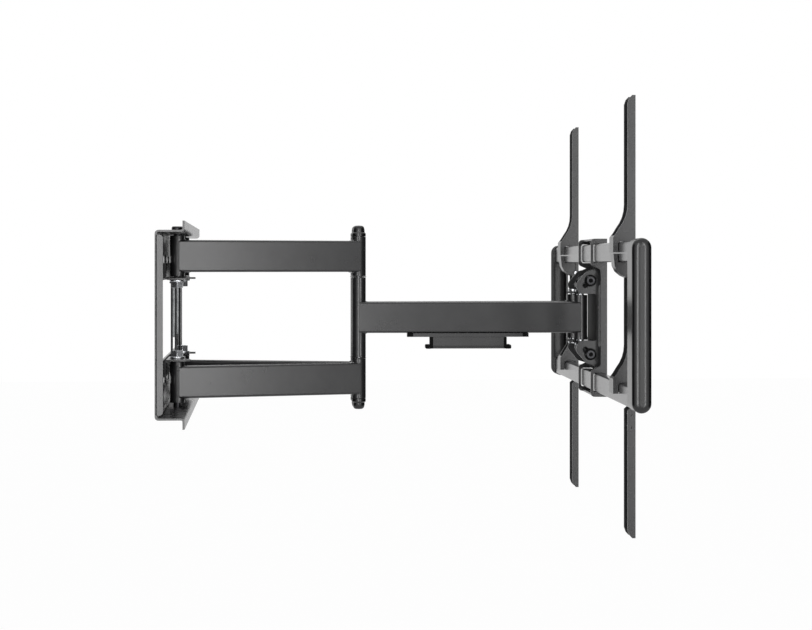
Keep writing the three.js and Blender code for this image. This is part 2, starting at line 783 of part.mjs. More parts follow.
// The tilting carriage: a windowed web with top, bottom and side flanges that the rails pass through.
function carriage() {
  const web = -carriageBack;
  const half = carriageHeight / 2;
  const wide = carriageHalfWidth;
  const inner = wide - carriageSheet;
  const railFoot = railLevel - railHeight / 2;
  const rise = railFoot - carriageCorner;
  const strip = -carriageBack - carriageStripDepth;
  const flange = roundedOutline([
    [web, -half, 0],
    [-carriageDepth, -half, carriageCorner],
    [-carriageDepth, -rise, carriageCorner],
    [strip, -rise + (carriageDepth - carriageBack - carriageStripDepth), carriageCorner],
    [strip, rise - (carriageDepth - carriageBack - carriageStripDepth), carriageCorner],
    [-carriageDepth, rise, carriageCorner],
    [-carriageDepth, half, carriageCorner],
    [web, half, 0],
  ]);
  let made = join(alongY(flange, -wide, -inner), alongY(flange, inner, wide));
  const back = roundedRect(-wide, -half, wide, half, carriageCorner / 2);
  made = join(made, alongX(back, web - carriageSheet, web, cornerFacets));
  const opening = roundedRect(
    -windowHalfWidth,
    -windowHalfHeight,
    windowHalfWidth,
    windowHalfHeight,
    carriageCorner,
  );
  made = cut(made, alongX(opening, web - carriageSheet - overrun, web + overrun, cornerFacets));
  const earOut = cheekHalfSpread - headSheet / 2 - earGap;
  const earIn = earOut - carriageSheet;
  for (const { sign } of levels) {
    const z = [sign * half, sign * (half - carriageSheet)].sort((a, b) => a - b);
    made = join(made, box(-carriageDepth + carriageCorner, web, -wide, wide, ...z));
    const railZ = sign * railLevel;
    const hole = roundedRect(
      -railBack - railDepth - slidingGap,
      railZ - railHeight / 2 - slidingGap,
      -railBack + slidingGap,
      railZ + railHeight / 2 + slidingGap,
      railCorner,
    );
    made = cut(made, alongY(hole, -wide - overrun, wide + overrun, cornerFacets));
    const earTop = earCrown * sign;
    const ear = roundedOutline([
      [web, sign * earFoot, 0],
      [-earNose, sign * earFoot, carriageCorner],
      [-earNose, earTop, carriageCorner],
      [-tiltBoltBack + tiltNutRadius, sign * (windowHalfHeight - carriageSheet), carriageCorner],
      [web, sign * (windowHalfHeight - carriageSheet), 0],
    ]);
    for (const side of sides) {
      const y = [side.sign * earIn, side.sign * earOut].sort((a, b) => a - b);
      const tongueY = [side.sign * earOut, side.sign * (earOut - tongueWidth)].sort((a, b) => a - b);
      const tongueZ = [sign * earFoot, sign * (windowHalfHeight + carriageSheet)].sort((a, b) => a - b);
      made = join(made, alongY(ear, ...y, cornerFacets));
      made = join(made, box(web - carriageSheet, web, ...tongueY, ...tongueZ));
      const hole = rodY(
        tiltBoltRadius + gap,
        -tiltBoltBack,
        sign * tiltBoltHeight,
        y[0] - overrun / 2,
        y[1] + overrun / 2,
      );
      made = cut(made, hole);
    }
  }
  return mesh("tilt_carriage", made, "powderCoat");
}

// A tilt bolt with a flanged socket head outside the cheek, and its nut inside the ear.
function tiltBolt(side, level) {
  const outside = cheekHalfSpread + headSheet / 2 + gap;
  const earIn = cheekHalfSpread - headSheet / 2 - earGap - carriageSheet;
  const shankEnd = earIn - gap - tiltNutHeight;
  const headTop = outside + tiltFlangeHeight + tiltHeadHeight;
  const profile = turned(
    [
      [0, shankEnd],
      [tiltBoltRadius, shankEnd],
      [tiltBoltRadius, outside],
      [tiltFlangeRadius, outside],
      [tiltFlangeRadius, outside + tiltFlangeHeight],
      [tiltHeadRadius, outside + tiltFlangeHeight],
      [tiltHeadRadius, headTop],
      [0, headTop],
    ],
    smallFacets,
  );
  const socket = rodZ(tiltSocketRadius, 0, 0, headTop - tiltHeadHeight / 2, headTop + overrun, hexSides);
  const nut = cut(
    rodZ(tiltNutRadius, 0, 0, shankEnd, earIn - gap, hexSides),
    rodZ(tiltBoltRadius + gap, 0, 0, shankEnd - overrun, earIn + overrun, smallFacets),
  );
  const group = new THREE.Group();
  group.position.set(-tiltBoltBack, 0, level.sign * tiltBoltHeight);
  group.rotation.x = (-side.sign * Math.PI) / 2;
  const tag = side.name + "_" + level.name;
  group.add(
    mesh(tag + "_tilt_bolt", cut(profile, socket), "blackSteel"),
    mesh(tag + "_tilt_nut", nut, "zinc"),
  );
  return group;
}

// A rail: a hollow rounded bar, open at its ends inside the caps.
function rail(level) {
  const x0 = -railBack - railDepth;
  const x1 = -railBack;
  const z0 = level.sign * railLevel - railHeight / 2;
  const z1 = level.sign * railLevel + railHeight / 2;
  const outside = roundedRect(x0, z0, x1, z1, railCorner);
  const bore = railCorner - railWall;
  const inside = roundedRect(x0 + railWall, z0 + railWall, x1 - railWall, z1 - railWall, bore);
  const half = railLength / 2;
  const made = cut(
    alongY(outside, -half, half, cornerFacets),
    alongY(inside, -half - overrun, half + overrun, cornerFacets),
  );
  return mesh(level.name + "_rail", made, "railCoat");
}

// An end cap: a tall moulding with full-round ends that joins the ends of both rails.
function endCap(side) {
  const front = -railBack + slidingGap + capWall;
  const back = front - capDepth - capWall;
  const middle = (front + back) / 2;
  const width = front - back;
  const half = capTallness / 2;
  const outline = roundedRect(back, -half, front, half, width / 2);
  const railEnd = railLength / 2;
  const outer = railEnd + gap + capWall;
  const inner = outer - capWidth + capBulge;
  let made = alongY(outline, inner, outer);
  const crown = roundedRect(
    back + capBulge * 0.7,
    -half + capBulge * 0.7,
    front - capBulge * 0.7,
    half - capBulge * 0.7,
    width / 2,
  );
  made = join(made, alongY(crown, outer - capBulge, outer + capBulge / 2));
  for (const { sign } of levels) {
    const socket = roundedRect(
      -railBack - railDepth - gap,
      sign * railLevel - railHeight / 2 - gap,
      -railBack + gap,
      sign * railLevel + railHeight / 2 + gap,
      railCorner,
    );
    made = cut(made, alongY(socket, inner - overrun, railEnd + gap, cornerFacets));
  }
  const recessTop = railLevel - railHeight / 2 - 2 * capWall;
  const recess = roundedRect(
    middle - width / 2 + capWall,
    -recessTop,
    middle + width / 2 - capWall,
    recessTop,
    capWall,
  );
  made = cut(made, alongY(recess, inner - overrun, inner + capRecess, cornerFacets));
  if (side.sign < 0) made = made.mirror([0, 1, 0]);
  return mesh(side.name + "_end_cap", made, "blackPlastic");
}

// A screen bracket: a channel along Z with a hook over each rail, centred on its own Y = 0.
function screenBracket(side) {
  const railTop = railLevel + railHeight / 2;
  const railFoot = railLevel - railHeight / 2;
  const notchBack = -railBack - railDepth - slidingGap;
  const notchFront = -railBack + slidingGap;
  const upperNotch = railTop + slidingGap;
  const lowerNotch = -railFoot + slidingGap;
  const edge = -bracketDepth;
  const flare = (roof) => {
    const curve = new THREE.QuadraticBezierCurve(
      new THREE.Vector2(edge, roof + hookRoof + flareHeight),
      new THREE.Vector2(edge, roof + hookRoof + flareHeight * 0.4),
      new THREE.Vector2(-hookDepth, roof + hookRoof),
    );
    return curve.getPoints(flareFacets).map(({ x, y }) => [x, y]);
  };
  const bayFoot = railFoot - latchBay;
  const lowerStep = -railTop - stepHeight / 2;
  const outline = shapeOf([
    [0, bracketAbove],
    [edge + bracketEndChamfer * 0.7, bracketAbove],
    [edge + bracketEndChamfer * 0.25, bracketAbove - bracketEndChamfer * 0.4],
    [edge, bracketAbove - bracketEndChamfer],
    ...flare(upperNotch),
    [-hookDepth, upperNotch - hookDrop],
    [notchBack, upperNotch - hookDrop],
    [notchBack, upperNotch - slidingGap * 4],
    [notchBack + slidingGap * 4, upperNotch],
    [notchFront, upperNotch],
    [notchFront, bayFoot],
    [edge, bayFoot - stepHeight / 2],
    ...flare(lowerNotch),
    [-hookDepth, lowerNotch - hookDrop],
    [notchBack, lowerNotch - hookDrop],
    [notchBack, lowerNotch - slidingGap * 4],
    [notchBack + slidingGap * 4, lowerNotch],
    [notchFront, lowerNotch],
    [notchFront, lowerStep],
    [edge, lowerStep - stepHeight],
    [edge, -bracketBelow + bracketEndChamfer],
    [edge + bracketEndChamfer * 0.25, -bracketBelow + bracketEndChamfer * 0.4],
    [edge + bracketEndChamfer * 0.7, -bracketBelow],
    [0, -bracketBelow],
  ]);
  const half = bracketWidth / 2;
  const inside = half - bracketSheet;
  let made = alongY(outline, -half, half);
  const channel = box(
    -hookDepth + bracketSheet,
    -bracketSheet,
    -inside,
    inside,
    -bracketBelow - overrun,
    bracketAbove + overrun,
  );
  made = cut(made, channel);
  const count = Math.floor((bracketAbove - screenSlotLength) / screenSlotPitch);
  for (let i = -count + 1; i <= count; i += 1) {
    const z = (i - 0.5) * screenSlotPitch;
    const tall = i % 2 === 0;
    const slot = roundedRect(
      -screenSlotWidth / 2,
      z - (tall ? screenSlotLength : screenSlotWidth) / 2,
      screenSlotWidth / 2,
      z + (tall ? screenSlotLength : screenSlotWidth) / 2,
      screenSlotWidth / 2,
    );
    made = cut(made, alongX(slot, -bracketSheet - overrun, overrun, cornerFacets));
  }
  for (const i of [1, 2]) {
    const z = lowerStep - stepHeight - i * sideHolePitch;
    made = cut(made, rodY(sideHoleRadius, edge / 2, z, -half - overrun, half + overrun, arcFacets));
  }
  const pinZ = railFoot - latchPinDrop;
  made = cut(made, rodY(latchPinRadius + gap, -latchPinBack, pinZ, -half - overrun, half + overrun));
  const piece = mesh(side.name + "_screen_bracket", made, "powderCoat");
  piece.position.y = side.sign * bracketHalfSpread;
  return piece;
}

// The latch under the upper rail, a quarter disc that turns on a pin across the bracket.
function latch(side) {
  const railFoot = railLevel - railHeight / 2;
  const top = railFoot - slidingGap;
  const pinZ = railFoot - latchPinDrop;
  const tipBack = -railBack - railDepth - slidingGap;
  const outline = new THREE.Shape();
  outline.moveTo(-latchDepth, railFoot + latchTip);
  outline.bezierCurveTo(
    -latchDepth,
    top - latchFoot * 0.6,
    -latchPinBack - latchEyeRadius * 2.2,
    top - latchFoot,
    -latchPinBack - latchEyeRadius,
    pinZ - latchEyeRadius * 0.8,
  );
  outline.absarc(-latchPinBack, pinZ, latchEyeRadius, Math.PI * 1.25, Math.PI * 2);
  outline.lineTo(-latchPinBack + latchEyeRadius, pinZ + latchEyeRadius);
  outline.lineTo(-railBack - slidingGap, top);
  outline.lineTo(tipBack, top);
  outline.lineTo(tipBack, railFoot + latchTip);
  outline.lineTo(-latchDepth + latchTipWidth * 0.4, railFoot + latchTip);
  let made = alongY(outline, -latchWidth / 2, latchWidth / 2);
  made = cut(made, rodY(latchPinRadius + gap, -latchPinBack, pinZ, -latchWidth, latchWidth));
  const piece = mesh(side.name + "_latch", made, "blackPlastic");
  const half = bracketWidth / 2 + bracketSheet / 2;
  const shank = rodY(latchPinRadius, -latchPinBack, pinZ, -half, half);
  const pin = mesh(side.name + "_latch_pin", shank, "zinc");
  const group = new THREE.Group();
  group.position.y = side.sign * bracketHalfSpread;
  group.add(piece, pin);
  return group;
}

// Where an arm's elbow lies, and which way its two halves point, for a head pin at a given place.
function armPose(side, pinAt) {
  const wallPin = new THREE.Vector2(pivotStandoff, side.sign * pivotHalfSpread);
  const reach = pinAt.clone().sub(wallPin);
  const distance = reach.length();
  const bend = Math.acos(
    (innerArmLength ** 2 + distance ** 2 - outerArmLength ** 2) / (2 * innerArmLength * distance),
  );
  const inner = Math.atan2(reach.y, reach.x) - side.sign * bend;
  const elbowAt = new THREE.Vector2(innerArmLength, 0).rotateAround(new THREE.Vector2(), inner).add(wallPin);
  const outer = Math.atan2(pinAt.y - elbowAt.y, pinAt.x - elbowAt.x);
  return { wallPin, inner, elbowAt, outer };
}

const mount = new THREE.Group();
mount.position.z = -originLevel;
mount.add(wallPlate(), ...sides.map(strut));
for (const level of levels) {
  mount.add(shelf(level));
  for (const side of sides) mount.add(wallPivot(side, level));
}

const pivotSetIn = pivotHalfSpread - headPinHalfSpread;
const fullReach = Math.sqrt((innerArmLength + outerArmLength) ** 2 - pivotSetIn ** 2);
const headPins = pivotStandoff + restReachShare * fullReach;
const nearPin = new THREE.Vector2(headPins, -headPinHalfSpread);
const headAt = nearPin.clone().setY(0).rotateAround(nearPin, restYaw);
const head = new THREE.Group();
head.position.set(headAt.x, headAt.y, pivotRise);
head.rotation.z = restYaw;
mount.add(head);

for (const side of sides) {
  const pose = armPose(side, new THREE.Vector2(headPins, side.sign * headPinHalfSpread));
  const inner = new THREE.Group();
  inner.position.set(pose.wallPin.x, pose.wallPin.y, pivotRise);
  inner.rotation.z = pose.inner;
  for (const level of levels) inner.add(innerArm(side, level));
  const joint = new THREE.Group();
  joint.position.x = innerArmLength;
  joint.add(...elbow(side));
  inner.add(joint);
  const outer = new THREE.Group();
  outer.position.set(pose.elbowAt.x, pose.elbowAt.y, pivotRise);
  outer.rotation.z = pose.outer;
  outer.add(outerArm(side));
  if (side.sign < 0) outer.add(...cableClip());
  const pin = headPin(side);
  pin.position.x = outerArmLength;
  outer.add(pin);
  mount.add(inner, outer);
}

const screenPlane = new THREE.Group();
screenPlane.position.x = headDepth;
head.add(screenPlane);
screenPlane.add(swivelBracket(), carriage());
for (const level of levels) {
  screenPlane.add(rail(level));
  for (const side of sides) screenPlane.add(tiltBolt(side, level));
}
for (const side of sides) screenPlane.add(endCap(side), screenBracket(side), latch(side));

export default mount;
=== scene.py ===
import json
import math

import bmesh
import bpy
from mathutils import Matrix, Vector

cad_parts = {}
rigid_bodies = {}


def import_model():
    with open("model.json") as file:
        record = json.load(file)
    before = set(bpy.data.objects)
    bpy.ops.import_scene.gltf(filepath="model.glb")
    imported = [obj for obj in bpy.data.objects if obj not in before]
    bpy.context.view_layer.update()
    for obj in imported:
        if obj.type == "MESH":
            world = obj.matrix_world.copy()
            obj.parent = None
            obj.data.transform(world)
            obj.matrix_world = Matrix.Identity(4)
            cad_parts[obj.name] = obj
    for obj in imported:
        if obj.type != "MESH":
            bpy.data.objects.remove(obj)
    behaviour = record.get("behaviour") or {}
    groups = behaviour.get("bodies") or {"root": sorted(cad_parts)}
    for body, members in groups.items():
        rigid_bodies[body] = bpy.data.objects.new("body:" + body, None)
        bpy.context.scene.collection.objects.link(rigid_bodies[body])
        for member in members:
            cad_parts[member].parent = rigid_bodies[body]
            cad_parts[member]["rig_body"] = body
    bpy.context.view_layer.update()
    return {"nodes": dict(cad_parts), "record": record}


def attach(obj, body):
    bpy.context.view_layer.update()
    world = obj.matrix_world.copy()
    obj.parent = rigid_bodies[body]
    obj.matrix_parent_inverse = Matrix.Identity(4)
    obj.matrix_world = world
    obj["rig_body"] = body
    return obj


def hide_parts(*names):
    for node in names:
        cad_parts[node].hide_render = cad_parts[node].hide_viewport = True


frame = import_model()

nodes = frame["nodes"]
scene = bpy.context.scene
MM = 0.001


def new_material(name):
    material = bpy.data.materials.new(name)
    material.use_nodes = True
    tree = material.node_tree
    tree.nodes.clear()
    output = tree.nodes.new("ShaderNodeOutputMaterial")
    shader = tree.nodes.new("ShaderNodeBsdfPrincipled")
    tree.links.new(shader.outputs["BSDF"], output.inputs["Surface"])
    return material, tree, shader


def object_coordinates(tree, scale=(1, 1, 1)):
    coordinates = tree.nodes.new("ShaderNodeTexCoord")
    mapping = tree.nodes.new("ShaderNodeMapping")
    mapping.inputs["Scale"].default_value = scale
    tree.links.new(coordinates.outputs["Object"], mapping.inputs["Vector"])
    return mapping.outputs["Vector"]


def noise(tree, vector, scale, detail, roughness=0.5):
    node = tree.nodes.new("ShaderNodeTexNoise")
    node.inputs["Scale"].default_value = scale
    node.inputs["Detail"].default_value = detail
    node.inputs["Roughness"].default_value = roughness
    tree.links.new(vector, node.inputs["Vector"])
    return node.outputs["Fac"]


def ramp(tree, factor, dark, light):
    node = tree.nodes.new("ShaderNodeValToRGB")
    for element, position, colour in zip(node.color_ramp.elements, (0.3, 0.7), (dark, light)):
        element.position = position
        element.color = (*colour, 1)
    tree.links.new(factor, node.inputs["Fac"])
    return node.outputs["Color"]


def remap(tree, factor, low, high):
    node = tree.nodes.new("ShaderNodeMapRange")
    node.inputs["To Min"].default_value = low
    node.inputs["To Max"].default_value = high
    tree.links.new(factor, node.inputs["Value"])
    return node.outputs["Result"]


def bump(tree, height, strength, distance, normal=None):
    node = tree.nodes.new("ShaderNodeBump")
    node.inputs["Strength"].default_value = strength
    node.inputs["Distance"].default_value = distance
    tree.links.new(height, node.inputs["Height"])
    if normal is not None:
        tree.links.new(normal, node.inputs["Normal"])
    return node.outputs["Normal"]


# Noise scales, and the heights in metres that the bumps stand for.
DRIFT_SCALE, GRAIN_SCALE, PEEL_SCALE, LINE_SCALE, CLOUD_SCALE = 38, 2600, 520, 900, 120
PEEL_HEIGHT, GRAIN_HEIGHT, LINE_HEIGHT = 0.00012, 0.00005, 0.00004
DRAWN = (1, 1, 14)


def coat(name, dark, light, low, high, peel, grain, specular=0.5):
    """A sprayed coat: slight colour drift, orange peel and a fine grain."""
    material, tree, shader = new_material(name)
    vector = object_coordinates(tree)
    drift = noise(tree, vector, DRIFT_SCALE, 4)
    fine = noise(tree, vector, GRAIN_SCALE, 2)
    orange = noise(tree, vector, PEEL_SCALE, 2)
    tree.links.new(ramp(tree, drift, dark, light), shader.inputs["Base Color"])
    tree.links.new(remap(tree, drift, low, high), shader.inputs["Roughness"])
    first = bump(tree, orange, peel, PEEL_HEIGHT)
    tree.links.new(bump(tree, fine, grain, GRAIN_HEIGHT, first), shader.inputs["Normal"])
    shader.inputs["IOR"].default_value = 1.5
    shader.inputs["Specular IOR Level"].default_value = specular
    return material


def bare_metal(name, dark, light, low, high):
    """Plated or blackened steel with fine drawn lines."""
    material, tree, shader = new_material(name)
    lines = noise(tree, object_coordinates(tree, DRAWN), LINE_SCALE, 3, 0.6)
    cloud = noise(tree, object_coordinates(tree), CLOUD_SCALE, 3)
    tree.links.new(ramp(tree, cloud, dark, light), shader.inputs["Base Color"])
    tree.links.new(remap(tree, lines, low, high), shader.inputs["Roughness"])
    tree.links.new(bump(tree, lines, 0.12, LINE_HEIGHT), shader.inputs["Normal"])
    shader.inputs["Metallic"].default_value = 1
    return material


# Each coat: darkest and lightest colour, lowest and highest roughness, orange peel, grain, specular level.
powder = coat("powder_coat", (0.012, 0.012, 0.013), (0.017, 0.017, 0.018), 0.24, 0.30, 0.12, 0.06)
arm_coat = coat("arm_coat", (0.013, 0.013, 0.014), (0.018, 0.018, 0.019), 0.22, 0.26, 0.08, 0.08)
# painted_shade_coat is painted shade: a darker, barely glossy copy of the coat for faces where shade falls.
painted_shade_coat = coat("unlit_coat", (0.006, 0.006, 0.0065), (0.009, 0.009, 0.0095), 0.60, 0.70, 0.10, 0.10, 0.1)
# painted_shade_black is painted shade: near-black for recesses, rims and ends where shade falls.
painted_shade_black = coat("painted_shade_black", (0.002, 0.002, 0.002), (0.003, 0.003, 0.003), 0.5, 0.6, 0.1, 0.1, 0.05)
rail_coat = coat("rail_coat", (0.014, 0.014, 0.015), (0.019, 0.019, 0.020), 0.18, 0.23, 0.10, 0.05)
moulded = coat("moulded_plastic", (0.004, 0.004, 0.0045), (0.006, 0.006, 0.0065), 0.22, 0.28, 0.08, 0.05)
nylon = coat("black_nylon", (0.010, 0.010, 0.010), (0.014, 0.014, 0.014), 0.48, 0.56, 0.10, 0.10)
zinc = bare_metal("bright_zinc", (0.42, 0.43, 0.45), (0.60, 0.61, 0.63), 0.18, 0.32)
# zinc_with_painted_shade is a darker copy of the bright zinc: painted shade on the struts and tilt nuts.
zinc_with_painted_shade = bare_metal("zinc_with_painted_shade", (0.085, 0.088, 0.09), (0.14, 0.143, 0.145), 0.26, 0.38)
black_steel = bare_metal("black_oxide_steel", (0.030, 0.030, 0.032), (0.050, 0.050, 0.053), 0.28, 0.38)

finish_of = {
    "rail": rail_coat,
    "plastic": moulded,
    "nylon": nylon,
    "zinc": zinc,
    "blacksteel": black_steel,
    "coat": powder,
}
slot_of = {part["node"]: part["material_slot"] for part in frame["record"]["subparts"]}

# Frames: the row's own, the tilting head's and one along each arm. Places in them are in millimetres.
SIDES = (("near", -1), ("far", 1))
LEVEL = -0.05657
head_frame = Matrix.Translation((0.4853633, -0.0012417, LEVEL)) @ Matrix.Rotation(math.radians(-2.3), 4, "Z")
row_frame = Matrix.Identity(4)
arm_frames = {}
for side, sign in SIDES:
    for arm, x, y, turn in (("_inner", 0.015, 0.064, -14.9003), ("_outer", 0.2102077, 0.0120581, 2.3353)):
        turned = Matrix.Rotation(math.radians(sign * turn), 4, "Z")
        arm_frames[side + arm] = Matrix.Translation((x, sign * y, LEVEL)) @ turned


def steps(*pairs):
    """A rising map through (from, to) pairs, straight between them and moved along outside."""

    def place(value):
        low, high = pairs[0], pairs[-1]
        if value <= low[0]:
            return value + low[1] - low[0]
        if value >= high[0]:
            return value + high[1] - high[0]
        for first, second in zip(pairs, pairs[1:]):
            if value <= second[0]:
                share = (value - first[0]) / (second[0] - first[0])
                return first[1] + share * (second[1] - first[1])

    return place


def both_ways(place):
    return lambda value: math.copysign(place(abs(value)), value)


# Where the CAD's corners go in the pieces that stand for them. Two known faults: the bracket and latch
# maps lift the latch pins and eyes about 9 mm above the joints' axes, so they part when a latch turns,
# and bracket_x draws the screen faces 2.6 mm behind the CAD's.
bracket_x = steps((-27.7, -25), (-25.7, -23.2), (-19.9, -19.9), (-11.5, -10.4), (-5.9, -5.9), (-2, -4.6), (0, -2.6))
bracket_z = steps(
    (-206, -206), (-116, -106), (-112.4, -102.6), (-103.5, -93.6), (-99.9, -90), (-89.2, -87.2),
    (-83.2, -83.2), (-71.2, -70.5), (-59.7, -59.7), (0, 0), (30, 36), (36.7, 45), (42.2, 51.2),
    (59.7, 60), (69.2, 69.9), (80.7, 80.7),
)
latch_x = steps((-26.7, -24.3), (-19.9, -19.9), (-6.9, -6.9), (-2.4, -5))
latch_z = steps((35.2, 43.3), (39.2, 48.2), (59.7, 60.25), (66.8, 68.5))
carriage_x = steps((-22.8, -22.8), (-10.6, -11.8), (-5.9, -5.9), (-5.4, -5.8), (-3.4, -4.9))
loop_z = both_ways(steps((0, 0), (40, 50.5), (43, 52.4), (55.2, 57.2), (59.7, 59.7)))
cap_y = both_ways(steps((290.7, 290.7), (312.7, 312.7), (317.3, 316.9), (319.7, 317), (321.2, 317.2)))
SCREW_LINE, FLANGE_CLEAR = 210, 9
CARRIAGE_FLANGE = 47.5
HEAD_STRETCH = 1.7
UPPER_SEAT, UPPER_HEAD = 37.13, 37.2
LOWER_SEAT, LOWER_HEAD = -153.27, -153.34


def shape_bracket(x, y, z):
    on_flange = abs(abs(y) - SCREW_LINE) > FLANGE_CLEAR
    return bracket_x(x), y, bracket_z(z) if on_flange else z


def shape_latch_pin(x, y, z):
    return bracket_x(x), y, bracket_z(z)


def shape_latch(x, y, z):
    return latch_x(x), y, latch_z(z)


def shape_carriage(x, y, z):
    return carriage_x(x), y, loop_z(z) if abs(y) > CARRIAGE_FLANGE else z


def shape_cap(x, y, z):
    return x, cap_y(y), z


def shape_upper_bolt(x, y, z):
    return x, y, UPPER_SEAT + (z - UPPER_SEAT) * HEAD_STRETCH if z > UPPER_HEAD else z


def shape_lower_bolt(x, y, z):
    return x, y, LOWER_SEAT + (z - LOWER_SEAT) * HEAD_STRETCH if z < LOWER_HEAD else z


shapes = {"tilt_carriage": (head_frame, shape_carriage)}
for side, _ in SIDES:
    shapes[side + "_upper_pivot_bolt"] = (row_frame, shape_upper_bolt)
    shapes[side + "_lower_pivot_bolt"] = (row_frame, shape_lower_bolt)
    shapes[side + "_screen_bracket"] = (head_frame, shape_bracket)
    shapes[side + "_latch_pin"] = (head_frame, shape_latch_pin)
    shapes[side + "_latch"] = (head_frame, shape_latch)
    shapes[side + "_end_cap"] = (head_frame, shape_cap)

SHARP_ANGLE, BEVEL_ANGLE, FLAT_ANGLE = math.radians(38), math.radians(28), math.radians(1)
WELD = 2e-6


def soften(piece, edge):
    for polygon in piece.data.polygons:
        polygon.use_smooth = True
    piece.data.set_sharp_from_angle(angle=SHARP_ANGLE)
    if edge > 0:
        bevel = piece.modifiers.new("soft_edges", "BEVEL")
        bevel.width = edge
        bevel.segments = 2
        bevel.limit_method = "ANGLE"
        bevel.angle_limit = BEVEL_ANGLE
        bevel.use_clamp_overlap = True
    weighted = piece.modifiers.new("face_normals", "WEIGHTED_NORMAL")
    weighted.keep_sharp = edge == 0


def dress(name, material, edge, space, reshape, inner):
    """A copy of a CAD node with softened edges and its last shaping, which stands for it.

    inner is a painted-shade finish and the test that picks its faces, or None.
    """
    source = nodes[name]
    mesh = source.data.copy()
    mesh.name = name + "_skin"
    piece = bpy.data.objects.new(name + "_skin", mesh)
    scene.collection.objects.link(piece)
    back = space.inverted()
    work = bmesh.new()
    work.from_mesh(mesh)
    bmesh.ops.remove_doubles(work, verts=work.verts, dist=WELD)
    bmesh.ops.dissolve_limit(
        work, angle_limit=FLAT_ANGLE, verts=work.verts, edges=work.edges, use_dissolve_boundaries=False
    )
    if reshape is not None:
        for vertex in work.verts:
            place = (back @ vertex.co) / MM
            vertex.co = space @ (Vector(reshape(*place)) * MM)
        work.normal_update()
    work.to_mesh(mesh)
    work.free()
    mesh.materials.clear()
    mesh.materials.append(material)
    if inner is not None:
        mesh.materials.append(inner[0])
    for polygon in mesh.polygons:
        gets_shade = inner is not None and inner[1]((back @ polygon.center) / MM, back.to_3x3() @ polygon.normal)
        polygon.material_index = 1 if gets_shade else 0
    soften(piece, edge)
    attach(piece, source["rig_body"])
    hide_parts(name)


def new_piece(name, work, space, material, body, edge, replaces=None, inner=None):
    """A piece drawn in millimetres in a space of its own. inner picks the faces drawn in painted shade black."""
    work.faces.ensure_lookup_table()
    gets_shade = [inner is not None and inner(face.calc_center_median()) for face in work.faces]
    for vertex in work.verts:
        vertex.co = space @ (vertex.co * MM)
    bmesh.ops.recalc_face_normals(work, faces=work.faces)
    mesh = bpy.data.meshes.new(name)
    work.to_mesh(mesh)
    work.free()
    mesh.materials.append(material)
    if inner is not None:
        mesh.materials.append(painted_shade_black)
        for polygon, dark in zip(mesh.polygons, gets_shade):
            polygon.material_index = 1 if dark else 0
    piece = bpy.data.objects.new(name, mesh)
    scene.collection.objects.link(piece)
    soften(piece, edge)
    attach(piece, body)
    if replaces:
        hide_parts(replaces)


def arc(cx, cy, radius, start, end, count):
    angles = [math.radians(start + (end - start) * i / count) for i in range(count + 1)]
    return [(cx + radius * math.cos(angle), cy + radius * math.sin(angle)) for angle in angles]


HAIR = 1e-4


def rounded(x0, y0, x1, y1, radius, count=4):
    """A rectangle with round corners. A radius past half a side gives full-round ends."""
    radius = min(radius, (x1 - x0) / 2 - HAIR, (y1 - y0) / 2 - HAIR)
    return (
        arc(x1 - radius, y0 + radius, radius, -90, 0, count)
        + arc(x1 - radius, y1 - radius, radius, 0, 90, count)
        + arc(x0 + radius, y1 - radius, radius, 90, 180, count)
        + arc(x0 + radius, y0 + radius, radius, 180, 270, count)
    )


def bridged(work, first, second):
    for i in range(len(first)):
        j = (i + 1) % len(first)
        work.faces.new((first[i], first[j], second[j], second[i]))


def lofted(work, rings):
    """Closed rings of places joined into one body with flat ends."""
    made = [[work.verts.new(place) for place in ring] for ring in rings]
    for first, second in zip(made, made[1:]):
        bridged(work, first, second)
    work.faces.new(made[0])
    work.faces.new(list(reversed(made[-1])))


def along_y(outline, *levels):
    return [[(x, y, z) for x, z in outline] for y in levels]


def along_x(outline, *levels):
    return [[(x, y, z) for y, z in outline] for x in levels]


# Faces in the swivel bracket's pocket, which get painted shade.
def pocket_face(place, normal):
    return abs(place.y) < 40 and normal.x < -0.3 and abs(place.z) < 29


# The backs of the outer arms' head barrels, which get painted shade.
def barrel_back(place, normal):
    return place.x > 243 and abs(place.z) < 25 and normal.x > 0.2


# The far end cap's wall-facing faces, which get painted shade.
def wall_side(place, normal):
    return normal.x < -0.3


def spots(name):
    """The places of a node's corners in the head frame, in millimetres."""
    back = head_frame.inverted()
    return [(back @ vertex.co) / MM for vertex in nodes[name].data.vertices]


def axis_of(points):
    return (
        (min(p.x for p in points) + max(p.x for p in points)) / 2,
        (min(p.z for p in points) + max(p.z for p in points)) / 2,
    )


def socket_of(name):
    """Picks the faces inside the hexagon socket in a bolt's head, which get painted shade."""
    points = spots(name)
    cx, cz = axis_of(points)
    top = max(abs(p.y) for p in points)

    def chosen(place, normal):
        return top - 4 < abs(place.y) < top - 0.3 and math.hypot(place.x - cx, place.z - cz) < 3.2

    return chosen


